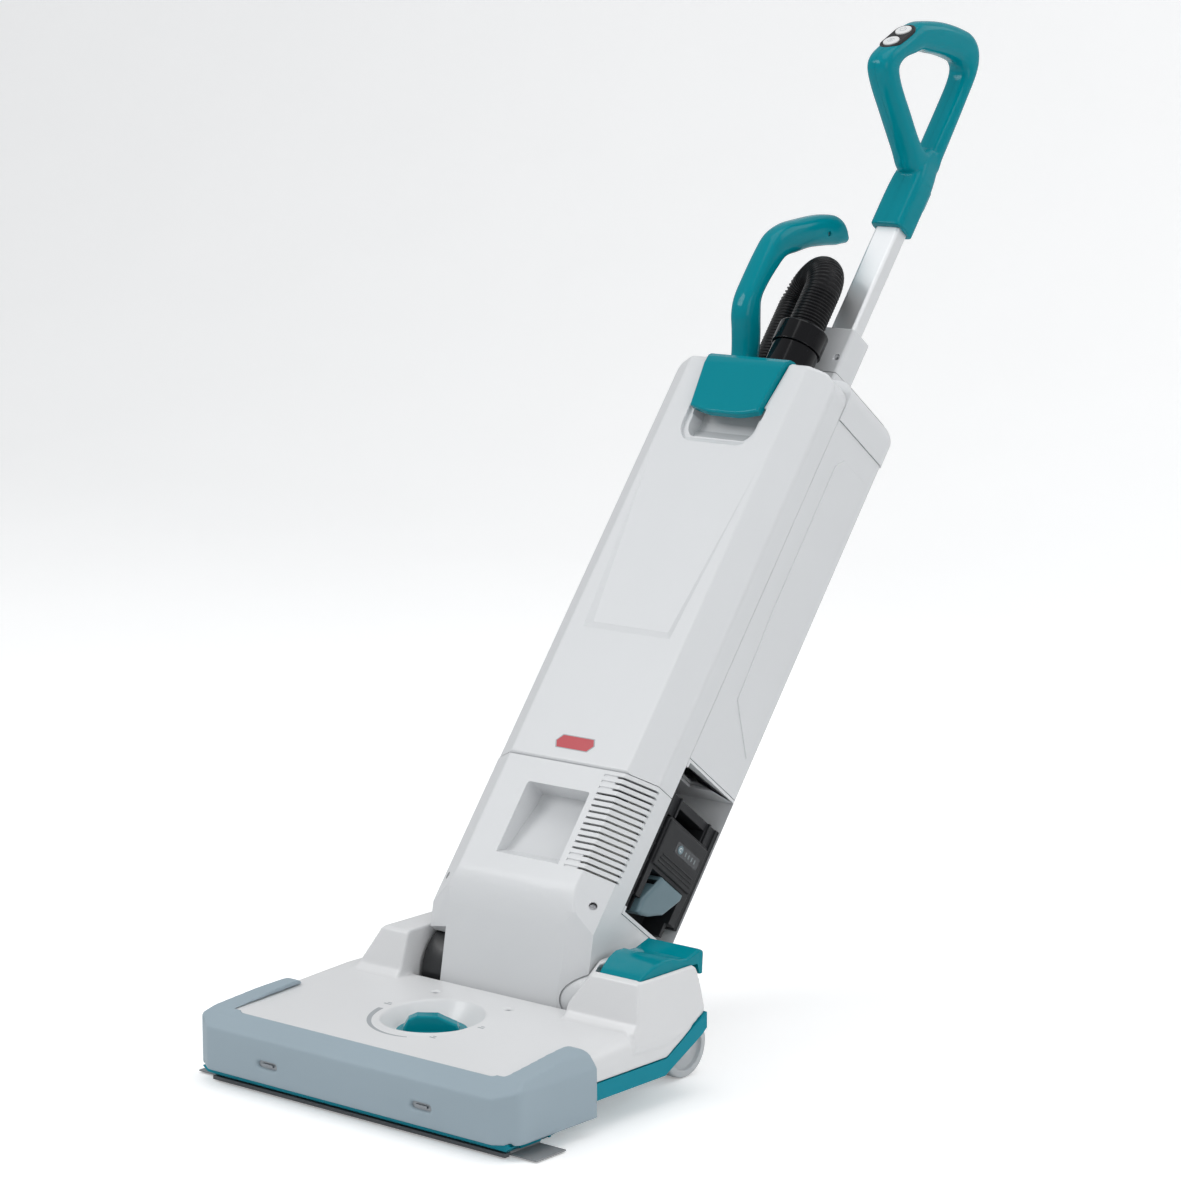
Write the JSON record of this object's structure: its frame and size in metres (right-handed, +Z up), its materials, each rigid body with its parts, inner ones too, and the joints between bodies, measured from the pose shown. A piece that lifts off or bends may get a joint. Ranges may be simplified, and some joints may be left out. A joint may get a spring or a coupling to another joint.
{
  "type": "upright vacuum cleaner",
  "caption": "Cordless upright vacuum cleaner: leaning body with bag door, latch, loop handle, carrying handle and hose on a wide floor head with brush roller, dial and foot pedal.",
  "frame": {"origin": "on the floor, on the centre plane, straight below the recline pivot", "axes": "+X to the side that holds the battery, -Y towards the bumper, +Z up; the body leans back 38 degrees at rest"},
  "size_m": [0.43, 0.995, 0.9833],
  "materials": {
    "white_shell": "satin moulded",
    "steel": "zinc plated",
    "teal_base": "satin moulded",
    "bumper_grey": "soft matte",
    "bright_steel": "bright",
    "strip_grey": "matte",
    "black_rubber": "matte",
    "dark_plastic": "moulded",
    "bristle": "nylon tufts",
    "motor_steel": "satin",
    "wheel_grey": "moulded",
    "teal_trim": "gloss",
    "body_grey": "satin moulded",
    "bright_alu": "anodised",
    "button_white": "moulded",
    "black_gloss": "gloss",
    "hose_black": "corrugated",
    "copper": "plated",
    "battery_black": "textured",
    "button_blue": "moulded",
    "fan_alu": "cast",
    "filter_white": "pleated",
    "bag_fabric": "non-woven",
    "card": "pressed",
    "board_green": "coated"
  },
  "bodies": {
    "head": {"head_cover": "white_shell", "head_screws": "steel", "chassis": "teal_base", "bumper": "bumper_grey", "bumper_clips": "bright_steel", "edge_strips": "strip_grey", "mouth_strips": "black_rubber", "brush_bearings": "steel", "brush_motor": "motor_steel", "drive_belt": "black_rubber", "floor_duct": "dark_plastic", "pivot_pin": "steel", "rear_axle": "steel", "pedal_spring": "steel"},
    "wheel_left": {"wheel_left": "wheel_grey"},
    "wheel_right": {"wheel_right": "wheel_grey"},
    "height_carriage": {"height_carriage": "dark_plastic"},
    "front_rollers": {"front_rollers": "wheel_grey"},
    "height_knob": {"height_knob": "teal_trim"},
    "brush": {"brush_roller": "dark_plastic", "brush_tufts": "bristle"},
    "motor_pulley": {"motor_pulley": "dark_plastic"},
    "foot_pedal": {"foot_pedal": "teal_trim"},
    "upright": {"rear_casing": "body_grey", "top_cap": "body_grey", "tube_collar": "body_grey", "handle_tube": "bright_alu", "handle_shell_left": "teal_trim", "handle_shell_right": "teal_trim", "button_plate": "dark_plastic", "carry_handle": "teal_trim", "hose_cuff": "black_gloss", "cuff_ring": "black_gloss", "hose": "hose_black", "riser_sleeve": "black_gloss", "riser_pipe": "dark_plastic", "lower_casing": "body_grey", "battery_dock": "dark_plastic", "battery_terminals": "copper", "lower_cover": "body_grey", "body_screws": "steel", "yoke": "body_grey", "pivot_barrel": "dark_plastic", "duct_elbow": "dark_plastic", "suction_motor": "motor_steel", "motor_mounts": "black_rubber", "filter_frame": "dark_plastic", "filter_pleats": "filter_white", "dust_bag": "bag_fabric", "bag_card": "card", "control_board": "board_green", "handle_cable": "black_rubber", "door_seal": "black_rubber"},
    "bag_door": {"bag_door": "body_grey"},
    "door_latch": {"door_latch": "teal_trim"},
    "power_button": {"power_button": "button_white"},
    "mode_button": {"mode_button": "button_white"},
    "battery": {"battery_pack": "battery_black"},
    "battery_button": {"battery_release": "button_blue"},
    "fan": {"fan_impeller": "fan_alu"}
  },
  "joints": [
    {"name": "recline", "type": "hinge", "parent": "head", "child": "upright", "pos_m": [0, 0, 0.076], "axis": [-1, 0, 0], "range_deg": [-38, 36], "stiffness_Nm_per_rad": 60, "springref_deg": -16.49},
    {"name": "wheel_left_spin", "type": "hinge", "parent": "head", "child": "wheel_left", "pos_m": [-0.1475, 0.0446, 0.031], "axis": [1, 0, 0], "continuous": true},
    {"name": "wheel_right_spin", "type": "hinge", "parent": "head", "child": "wheel_right", "pos_m": [0.1475, 0.0446, 0.031], "axis": [1, 0, 0], "continuous": true},
    {"name": "height_knob_turn", "type": "hinge", "parent": "head", "child": "height_knob", "pos_m": [0, -0.141, 0.06], "axis": [0, 0, 1], "range_deg": [-45, 60]},
    {"name": "carriage_lift", "type": "slide", "parent": "head", "child": "height_carriage", "axis": [0, 0, -1], "range_m": [-0.003, 0.004], "stiffness_N_per_m": 200, "springref_m": -0.00155},
    {"name": "front_rollers_spin", "type": "hinge", "parent": "height_carriage", "child": "front_rollers", "pos_m": [0, -0.144, 0.011], "axis": [1, 0, 0], "continuous": true},
    {"name": "brush_spin", "type": "hinge", "parent": "head", "child": "brush", "pos_m": [0, -0.218, 0.025], "axis": [1, 0, 0], "continuous": true},
    {"name": "motor_pulley_spin", "type": "hinge", "parent": "head", "child": "motor_pulley", "pos_m": [0.17, -0.112, 0.051], "axis": [1, 0, 0], "continuous": true},
    {"name": "pedal_press", "type": "hinge", "parent": "head", "child": "foot_pedal", "pos_m": [0.149, -0.046, 0.112], "axis": [-1, 0, 0], "range_deg": [0, 6], "stiffness_Nm_per_rad": 2, "springref_deg": -5.73, "deforming": ["pedal_spring"]},
    {"name": "bag_door_swing", "type": "hinge", "parent": "upright", "child": "bag_door", "pos_m": [0, 0.06317, 0.28502], "axis": [1, 0, 0], "range_deg": [0, 70]},
    {"name": "latch_lift", "type": "hinge", "parent": "bag_door", "child": "door_latch", "pos_m": [0, 0.36676, 0.62827], "axis": [-1, 0, 0], "range_deg": [0, 25]},
    {"name": "power_button_press", "type": "slide", "parent": "upright", "child": "power_button", "axis": [0, 0.4295, -0.9031], "range_m": [0, 0.0015], "stiffness_N_per_m": 400, "springref_m": -0.0005},
    {"name": "mode_button_press", "type": "slide", "parent": "upright", "child": "mode_button", "axis": [0, 0.4295, -0.9031], "range_m": [0, 0.0015], "stiffness_N_per_m": 400, "springref_m": -0.0005},
    {"name": "battery_slide", "type": "slide", "parent": "upright", "child": "battery", "axis": [1, 0, 0], "range_m": [0, 0.12]},
    {"name": "battery_button_press", "type": "slide", "parent": "battery", "child": "battery_button", "axis": [-1, 0, 0], "range_m": [0, 0.003], "stiffness_N_per_m": 400, "springref_m": -0.001},
    {"name": "fan_spin", "type": "hinge", "parent": "upright", "child": "fan", "pos_m": [0.022, 0.18627, 0.31117], "axis": [0, 0.6157, 0.788], "continuous": true}
  ],
  "couplings": [
    {"joint": "motor_pulley_spin", "follows": "brush_spin", "ratio": 1.7733},
    {"joint": "carriage_lift", "follows": "height_knob_turn", "m_per_rad": 0.0035}
  ]
}
